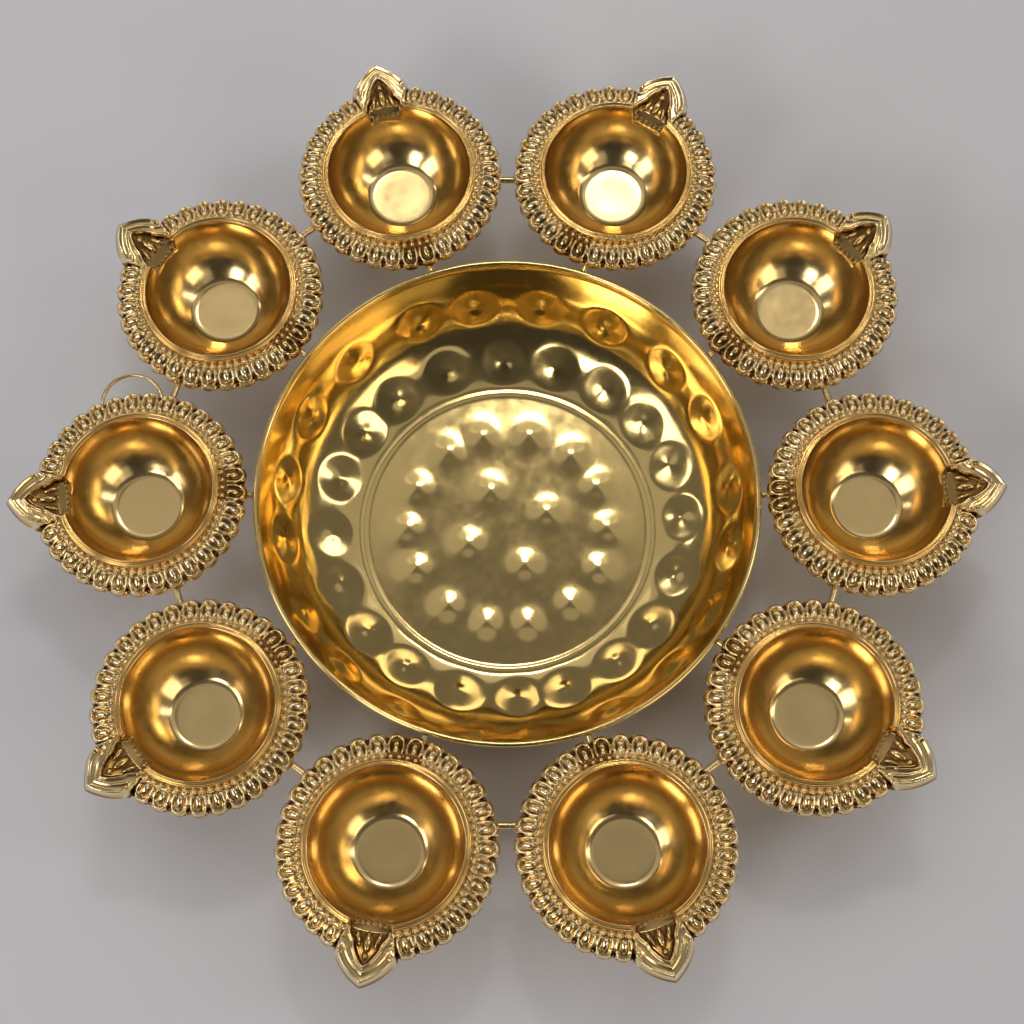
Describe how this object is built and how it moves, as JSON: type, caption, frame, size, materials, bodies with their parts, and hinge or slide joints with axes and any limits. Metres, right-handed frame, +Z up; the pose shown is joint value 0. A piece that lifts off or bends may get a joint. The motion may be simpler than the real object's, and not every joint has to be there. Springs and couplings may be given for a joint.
{
  "type": "urli bowl with diya oil lamps",
  "caption": "Round metal water bowl ringed by spouted oil lamps with beaded petal rims, wired to each other and strutted to the bowl.",
  "frame": {"origin": "centre of the bowl's flat underside, on the surface that it stands on", "axes": "+Z up, +X through lamp 1, the front of the pictured view towards -Y"},
  "size_m": [0.3727, 0.3575, 0.0544],
  "materials": {
    "bowl_gold": "gold plated, polished, hammered dimples inside",
    "lamp_gold": "gold plated, polished, embossed petals and beads",
    "wire_gold": "gold plated drawn wire, soldered ends"
  },
  "bodies": {
    "root": {"urli_bowl": "bowl_gold", "diya_01": "lamp_gold", "diya_02": "lamp_gold", "diya_03": "lamp_gold", "diya_04": "lamp_gold", "diya_05": "lamp_gold", "diya_06": "lamp_gold", "diya_07": "lamp_gold", "diya_08": "lamp_gold", "diya_09": "lamp_gold", "diya_10": "lamp_gold", "link_rod_01": "wire_gold", "link_rod_02": "wire_gold", "link_rod_03": "wire_gold", "link_rod_04": "wire_gold", "link_rod_05": "wire_gold", "link_rod_06": "wire_gold", "link_rod_07": "wire_gold", "link_rod_08": "wire_gold", "link_rod_09": "wire_gold", "link_rod_10": "wire_gold", "bowl_strut_01": "wire_gold", "bowl_strut_02": "wire_gold", "bowl_strut_03": "wire_gold", "bowl_strut_04": "wire_gold", "bowl_strut_05": "wire_gold", "bowl_strut_06": "wire_gold", "bowl_strut_07": "wire_gold", "bowl_strut_08": "wire_gold", "bowl_strut_09": "wire_gold", "bowl_strut_10": "wire_gold", "wire_loop": "wire_gold"}
  },
  "joints": []
}
